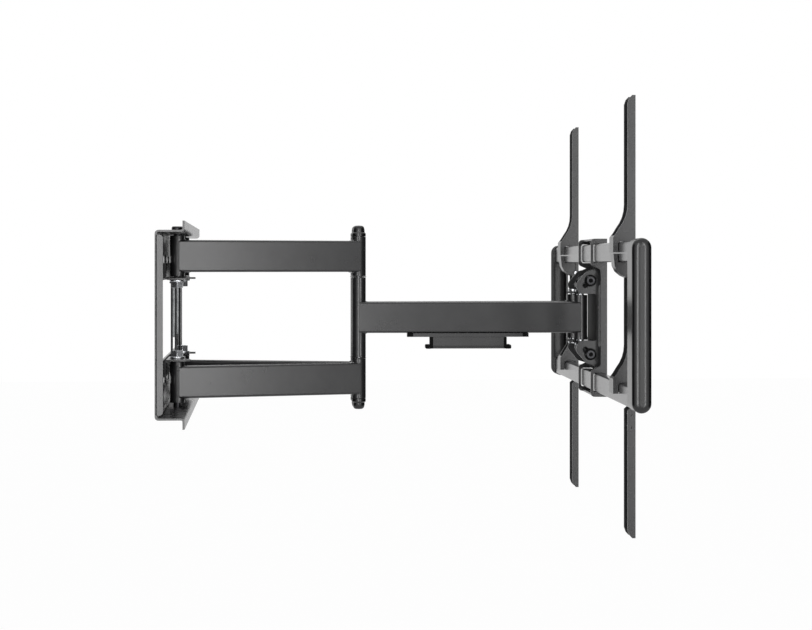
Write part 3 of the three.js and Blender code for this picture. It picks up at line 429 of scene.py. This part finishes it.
EDGES = {"coat": 0.3, "rail": 0.4, "plastic": 0.4}
FINE_EDGE, TUBE_EDGE = 0.2, 0.35
drawn_below = ("wall_plate", "cable_clip_base", "cable_clip_cover")
for name in nodes:
    if name in drawn_below:
        continue
    slot = slot_of[name]
    material = finish_of[slot]
    if name.endswith("_arm"):
        material = arm_coat
    # Struts and tilt nuts get the darker zinc as painted shade.
    if name.endswith(("_strut", "_tilt_nut")):
        material = zinc_with_painted_shade
    if name.endswith("_pivot_bolt"):
        material = black_steel
    if name.endswith("_elbow_washer"):
        material = nylon
    space, reshape = shapes.get(name, (head_frame, None))
    # Some pieces get painted shade on the faces that a test picks.
    inner = None
    if name == "swivel_bracket":
        inner = (painted_shade_coat, pocket_face)
    if name.endswith("_outer_arm"):
        space, inner = arm_frames[name.removesuffix("_arm")], (painted_shade_coat, barrel_back)
    if name == "far_end_cap":
        inner = (painted_shade_coat, wall_side)
    # The tilt bolts' sockets get painted shade.
    if name.endswith("_tilt_bolt"):
        inner = (painted_shade_black, socket_of(name))
    dress(name, material, EDGES.get(slot, FINE_EDGE) * MM, space, reshape, inner)


# Arm tubes: their faces stand in front of the barrels and end on the barrels' axes.
TUBE_HALF_WIDTH, TUBE_HALF_HEIGHT, TUBE_CORNER, TUBE_END_ROUND = 8.7, 17, 2.6, 2
INNER_RISE, INNER_LENGTH, OUTER_LENGTH = 66.8, 202, 244


def arm_tube(name, middle, length, body):
    section = rounded(-TUBE_HALF_WIDTH, -TUBE_HALF_HEIGHT, TUBE_HALF_WIDTH, TUBE_HALF_HEIGHT, TUBE_CORNER)
    rings = []
    for end, turns in ((0, (90, 60, 30, 0)), (length, (0, 30, 60, 90))):
        for turn in map(math.radians, turns):
            inset = TUBE_END_ROUND * (1 - math.sin(turn))
            limit = TUBE_HALF_HEIGHT - TUBE_END_ROUND * (1 - math.cos(turn))
            rings.append([(abs(end - inset), y, middle + max(-limit, min(limit, z))) for y, z in section])
    work = bmesh.new()
    lofted(work, rings)
    new_piece(name, work, arm_frames[body], arm_coat, body, TUBE_EDGE * MM)


for side, _ in SIDES:
    for place, middle in (("upper", INNER_RISE), ("lower", -INNER_RISE)):
        arm_tube(side + "_inner_" + place + "_tube", middle, INNER_LENGTH, side + "_inner")
    arm_tube(side + "_outer_tube", 0, OUTER_LENGTH, side + "_outer")


# The carriage's web, with a slit beside it for each cheek.
WEB_HALF_WIDTH, WEB_HALF_HEIGHT, WEB_BACK, WEB_FRONT = 33.5, 60, -5.75, -4.95
work = bmesh.new()
web_outline = rounded(-WEB_HALF_WIDTH, -WEB_HALF_HEIGHT, WEB_HALF_WIDTH, WEB_HALF_HEIGHT, 1)
lofted(work, along_x(web_outline, WEB_BACK, WEB_FRONT))
new_piece("carriage_web", work, head_frame, powder, "screen_frame", 0)


# End caps: a swollen outer face with full-round ends, on the body that takes the rails.
CROWN_FOOT, CROWN_START, CROWN_HEIGHT, CROWN_INSET = 315.5, 317.4, 4.6, 7.4
CAP_BACK, CAP_FRONT, CAP_HALF_HEIGHT, CAP_RIM = -22, -3.4, 82.6, -16
FULL_ROUND = 20


def crown(side, sign):
    levels = [(CROWN_FOOT, 0)]
    for turn in map(math.radians, (0, 12, 24, 36, 48, 60, 72, 82, 90)):
        levels.append((CROWN_START + CROWN_HEIGHT * math.sin(turn), CROWN_INSET * (1 - math.cos(turn))))
    rings = []
    for depth, inset in levels:
        foot, top = inset - CAP_HALF_HEIGHT, CAP_HALF_HEIGHT - inset
        outline = rounded(CAP_BACK + inset, foot, CAP_FRONT - inset, top, FULL_ROUND, 8)
        rings += along_y(outline, sign * depth)
    work = bmesh.new()
    lofted(work, rings)
    # The far cap's wall-side rim gets painted shade.
    rim = (lambda place: place.x < CAP_RIM) if side == "far" else None
    new_piece(side + "_end_cap_crown", work, head_frame, moulded, "screen_frame", 0, None, rim)


for side, sign in SIDES:
    crown(side, sign)


def folded(points, thickness, bend):
    """The outline of a folded sheet, from the corners of its middle line."""
    line = []
    for i, point in enumerate(points):
        here = Vector(point)
        if i in (0, len(points) - 1):
            line.append(here)
            continue
        start = here + (Vector(points[i - 1]) - here).normalized() * bend
        end = here + (Vector(points[i + 1]) - here).normalized() * bend
        for t in (0, 0.25, 0.5, 0.75, 1):
            line.append(start * (1 - t) ** 2 + here * (2 * t * (1 - t)) + end * t**2)
    sides = ([], [])
    for i, point in enumerate(line):
        along = line[min(i + 1, len(line) - 1)] - line[max(i - 1, 0)]
        across = Vector((-along.y, along.x)).normalized() * thickness / 2
        sides[0].append(tuple(point + across))
        sides[1].append(tuple(point - across))
    return sides[0] + sides[1][::-1]


def cut_away(work, cutters):
    """Takes the cutters out of a body and gives back what is left."""
    pair = []
    for tag, source in (("body", work), ("cutters", cutters)):
        bmesh.ops.recalc_face_normals(source, faces=source.faces)
        mesh = bpy.data.meshes.new(tag)
        source.to_mesh(mesh)
        source.free()
        thing = bpy.data.objects.new(tag, mesh)
        scene.collection.objects.link(thing)
        pair.append(thing)
    body, cutter = pair
    difference = body.modifiers.new("cut", "BOOLEAN")
    difference.operation = "DIFFERENCE"
    difference.solver = "EXACT"
    difference.object = cutter
    graph = bpy.context.evaluated_depsgraph_get()
    result = bmesh.new()
    result.from_mesh(body.evaluated_get(graph).to_mesh())
    for thing in pair:
        bpy.data.objects.remove(thing)
    return result


# Wall plate: the folded channel with its window, slots and small holes, and a tab folded in at each end.
SHEET, PLATE_BEND, PLATE_END = 2, 3, 220
PLATE_REACH, PLATE_BAND, PLATE_LIP = 28, 92, 102
PLATE_CUT = (-3, 5)
WINDOW = (-200, -40.1, 200, 43.1)
WINDOW_CORNER = 8
PITCH, SLOT_HALF_LENGTH, SLOT_HALF_HEIGHT = 68, 23, 4
HOLE_RADIUS, HOLE_OFFSET = 2.5, 8.5
TAB_EDGE, TAB_DEPTH, TAB_CORNER = 88, 8, 3
MIDDLE = SHEET / 2

plate = bmesh.new()
upper_corners = [(MIDDLE, PLATE_BAND), (PLATE_REACH, PLATE_BAND), (PLATE_REACH, PLATE_LIP)]
lower_corners = [(x, -z) for x, z in reversed(upper_corners)]
lofted(plate, along_y(folded(lower_corners + upper_corners, SHEET, PLATE_BEND), -PLATE_END, PLATE_END))
cutters = bmesh.new()


def opening(cx, cz, half_length, half_height, corner, count=4):
    outline = rounded(cx - half_length, cz - half_height, cx + half_length, cz + half_height, corner, count)
    lofted(cutters, along_x(outline, *PLATE_CUT))


lofted(cutters, along_x(rounded(*WINDOW, WINDOW_CORNER), *PLATE_CUT))
for slot_z, hole_z in ((64.5, 84), (-62.8, -83.5)):
    for i in range(-2, 3):
        opening(i * PITCH, slot_z, SLOT_HALF_LENGTH, SLOT_HALF_HEIGHT, SLOT_HALF_HEIGHT)
    for i in range(-2, 2):
        for offset in (-HOLE_OFFSET, HOLE_OFFSET):
            opening((i + 0.5) * PITCH + offset, hole_z, HOLE_RADIUS, HOLE_RADIUS, HOLE_RADIUS, 3)
plate = cut_away(plate, cutters)
tab_x, tab_z = TAB_DEPTH - TAB_CORNER, TAB_EDGE - TAB_CORNER
tab = (
    [(MIDDLE, -TAB_EDGE)]
    + arc(tab_x, -tab_z, TAB_CORNER, -90, 0, 4)
    + arc(tab_x, tab_z, TAB_CORNER, 0, 90, 4)
    + [(MIDDLE, TAB_EDGE)]
)
for y in (-PLATE_END, PLATE_END - SHEET):
    lofted(plate, along_y(tab, y, y + SHEET))
plate_frame = Matrix.Translation((0, 0, -0.05807))
new_piece("wall_plate_skin", plate, plate_frame, powder, "wall", TUBE_EDGE * MM, "wall_plate")


# Cable clip: a plate under the arm whose near face at each end, where a notch stands, is painted shade black, and a
# snap-on channel with end lips whose ends are painted shade black.
CLIP_START, CLIP_END, CLIP_TOP, CLIP_FOOT, CLIP_HALF_WIDTH, CLIP_STEP = 53, 186, -17.3, -21.3, 8.7, -2
NOTCH, NOTCH_EDGE = 6.5, 6
COVER_START, COVER_END, COVER_TOP, COVER_FOOT, COVER_HALF_WIDTH = 78, 162, -21.5, -33.4, 7.8
COVER_SHEET, COVER_BEND, COVER_CAP = 1.8, 3, 3.3
LIP_STARTS, LIP_LENGTH, LIP_FOOT, LIP_TOP, LIP_CORNER = (73, 160.2), 6.8, -34.3, -29.8, 1.4


def clip_block(x0, x1, y0, y1):
    outline = [(x0, CLIP_TOP), (x1, CLIP_TOP), (x1, CLIP_FOOT), (x0, CLIP_FOOT)]
    lofted(clip, along_y(outline, y0, y1))


def clip_piece(name, work, inner):
    new_piece(name + "_skin", work, arm_frames["near_outer"], powder, "near_outer", 0, name, inner)


clip = bmesh.new()
clip_block(CLIP_START, CLIP_END, CLIP_STEP, CLIP_HALF_WIDTH)
clip_lengths = (CLIP_START, CLIP_START + NOTCH, CLIP_END - NOTCH, CLIP_END)
for x0, x1 in zip(clip_lengths, clip_lengths[1:]):
    clip_block(x0, x1, -CLIP_HALF_WIDTH, CLIP_STEP)
# The base's near face at each end is painted shade.
clip_piece(
    "cable_clip_base",
    clip,
    lambda place: place.y < 0 and not CLIP_START + NOTCH_EDGE < place.x < CLIP_END - NOTCH_EDGE,
)

cover = bmesh.new()
cover_top = (COVER_HALF_WIDTH, COVER_TOP)
cover_foot = (COVER_HALF_WIDTH, COVER_FOOT)
cover_corners = [(-x, z) for x, z in (cover_top, cover_foot)] + [cover_foot, cover_top]
channel = folded(cover_corners, COVER_SHEET, COVER_BEND)
shade_start, shade_end = COVER_START + COVER_CAP, COVER_END - COVER_CAP
cover_lengths = (COVER_START, shade_start, shade_end, COVER_END)
for x0, x1 in zip(cover_lengths, cover_lengths[1:]):
    lofted(cover, along_x(channel, x0, x1))
for x in LIP_STARTS:
    lip = rounded(x, LIP_FOOT, x + LIP_LENGTH, LIP_TOP, LIP_CORNER)
    lofted(cover, along_y(lip, -CLIP_HALF_WIDTH, CLIP_HALF_WIDTH))
# The cover's ends and lips are painted shade.
clip_piece("cable_clip_cover", cover, lambda place: not shade_start <= place.x <= shade_end)


# Thin near-black rings under the heads of the tilt bolts: painted shade, the dark outline where shade falls around
# each head.
CHEEK_REACH, HEAD_CLEAR = 14, 0.3
SHADE_RING_SIDES, SHADE_RING_SUNK, SHADE_RING_TOP, SHADE_RING_RIM, SHADE_RING_OVERLAP = 32, 0.05, 0.35, 1, 0.4
for side, sign in SIDES:
    for place in ("upper", "lower"):
        name = side + "_" + place + "_tilt_bolt"
        bolt = spots(name)
        cx, cz = axis_of(bolt)

        def from_axis(point):
            return math.hypot(point.x - cx, point.z - cz)

        cheek = max(sign * p.y for p in spots("swivel_bracket") if from_axis(p) < CHEEK_REACH)
        head = max(from_axis(p) for p in bolt if sign * p.y > cheek + HEAD_CLEAR)
        foot, top = cheek - SHADE_RING_SUNK, cheek + SHADE_RING_TOP
        outer, bore = head + SHADE_RING_RIM, head - SHADE_RING_OVERLAP
        ring = bmesh.new()
        made = []
        for y, radius in ((foot, outer), (top, outer), (top, bore), (foot, bore)):
            circle = arc(cx, cz, radius, 0, 360 - 360 / SHADE_RING_SIDES, SHADE_RING_SIDES - 1)
            made.append([ring.verts.new((x, sign * y, z)) for x, z in circle])
        for first, second in zip(made, made[1:] + made[:1]):
            bridged(ring, first, second)
        body = nodes[name]["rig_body"]
        # Each ring is painted shade around a bolt head.
        new_piece(name + "_washer", ring, head_frame, painted_shade_black, body, 0)


# The camera, fitted to the photograph: focal length and shift are in its pixels.
PHOTO_WIDTH, FOCAL_PIXELS, SHIFT_PIXELS = 812, 1820.5, -48.4
camera_data = bpy.data.cameras.new("camera")
camera = bpy.data.objects.new("camera", camera_data)
scene.collection.objects.link(camera)
camera.location = (0.1025, -2.006, -0.00097)
camera.rotation_euler = (math.radians(90), 0, math.radians(-4.58))
camera_data.sensor_width = 36
camera_data.lens = FOCAL_PIXELS / PHOTO_WIDTH * 36
camera_data.shift_y = SHIFT_PIXELS / PHOTO_WIDTH
camera_data.clip_end = 60
scene.camera = camera


# Stage and light: two tall soft strips beside the camera, a soft top light, and a dark flag on each side.
def area_light(name, place, target, size, power):
    data = bpy.data.lights.new(name, "AREA")
    data.shape = "RECTANGLE"
    data.size, data.size_y = size
    data.energy = power
    light = bpy.data.objects.new(name, data)
    scene.collection.objects.link(light)
    light.location = place
    light.rotation_euler = (Vector(target) - Vector(place)).to_track_quat("-Z", "Y").to_euler()
    light.visible_camera = False


area_light("left_strip", (-0.12, -1.95, 0.15), (0.25, 0, -0.05), (0.30, 1.5), 14)
area_light("right_strip", (0.94, -1.95, 0.15), (0.25, 0, -0.05), (0.22, 1.5), 10.5)
area_light("top", (0.2, 0.3, 1.8), (0.2, 0, 0), (1.4, 1.2), 8)


def flag(name, x, y0, y1):
    """A dark panel beside the set that the camera doesn't see."""
    z0, z1 = -1.0, 1.3
    mesh = bpy.data.meshes.new(name)
    mesh.from_pydata([(x, y0, z0), (x, y1, z0), (x, y1, z1), (x, y0, z1)], [], [(0, 1, 2, 3)])
    panel = bpy.data.objects.new(name, mesh)
    scene.collection.objects.link(panel)
    material, tree, shader = new_material(name + "_cloth")
    weave = noise(tree, object_coordinates(tree), 40, 2)
    tree.links.new(ramp(tree, weave, (0.01,) * 3, (0.02,) * 3), shader.inputs["Base Color"])
    shader.inputs["Roughness"].default_value = 0.9
    mesh.materials.append(material)
    panel.visible_camera = False


flag("left_flag", -1.9, -1.7, 1.0)
flag("right_flag", 2.3, -1.7, 3.5)


def sum_of(tree, first, second):
    node = tree.nodes.new("ShaderNodeMath")
    node.operation = "ADD"
    node.use_clamp = True
    tree.links.new(first, node.inputs[0])
    tree.links.new(second, node.inputs[1])
    return node.outputs[0]


def mixed(tree, factor, first, second, surface):
    node = tree.nodes.new("ShaderNodeMixShader")
    tree.links.new(factor, node.inputs["Fac"])
    tree.links.new(first, node.inputs[1])
    tree.links.new(second, node.inputs[2])
    tree.links.new(node.outputs[0], surface)


def background(tree, strength):
    node = tree.nodes.new("ShaderNodeBackground")
    node.inputs["Color"].default_value = (1, 1, 1, 1)
    node.inputs["Strength"].default_value = strength
    return node.outputs[0]


# World: white where it is seen, mirrored or looked through, and a soft light elsewhere.
world = bpy.data.worlds.new("studio")
scene.world = world
world.use_nodes = True
tree = world.node_tree
tree.nodes.clear()
world_output = tree.nodes.new("ShaderNodeOutputWorld")
soft, white = background(tree, 0.3), background(tree, 1)
path = tree.nodes.new("ShaderNodeLightPath").outputs
seen = sum_of(tree, path["Is Camera Ray"], path["Is Glossy Ray"])
seen = sum_of(tree, seen, path["Is Transmission Ray"])
mixed(tree, seen, soft, white, world_output.inputs["Surface"])

# Floor: pale, far below, and mostly its own white where it is seen or mirrored.
FLOOR_GLOW, FLOOR_SHARE = 1.06, 0.9
floor_mesh = bpy.data.meshes.new("floor")
floor_work = bmesh.new()
bmesh.ops.create_grid(floor_work, x_segments=8, y_segments=8, size=14)
floor_work.to_mesh(floor_mesh)
floor_work.free()
floor = bpy.data.objects.new("floor", floor_mesh)
scene.collection.objects.link(floor)
floor.location = (0.2, 4, -1.25)
floor_material, tree, shader = new_material("pale_floor")
shade = noise(tree, object_coordinates(tree), 3, 2)
tree.links.new(ramp(tree, shade, (0.86,) * 3, (0.9,) * 3), shader.inputs["Base Color"])
shader.inputs["Roughness"].default_value = 0.8
glow = tree.nodes.new("ShaderNodeEmission")
glow.inputs["Strength"].default_value = FLOOR_GLOW
path = tree.nodes.new("ShaderNodeLightPath").outputs
share = tree.nodes.new("ShaderNodeMath")
share.operation = "MULTIPLY"
share.inputs[1].default_value = FLOOR_SHARE
tree.links.new(sum_of(tree, path["Is Camera Ray"], path["Is Glossy Ray"]), share.inputs[0])
output = next(node for node in tree.nodes if node.type == "OUTPUT_MATERIAL")
mixed(tree, share.outputs[0], shader.outputs["BSDF"], glow.outputs[0], output.inputs["Surface"])
floor_mesh.materials.append(floor_material)

scene.view_settings.view_transform = "Standard"
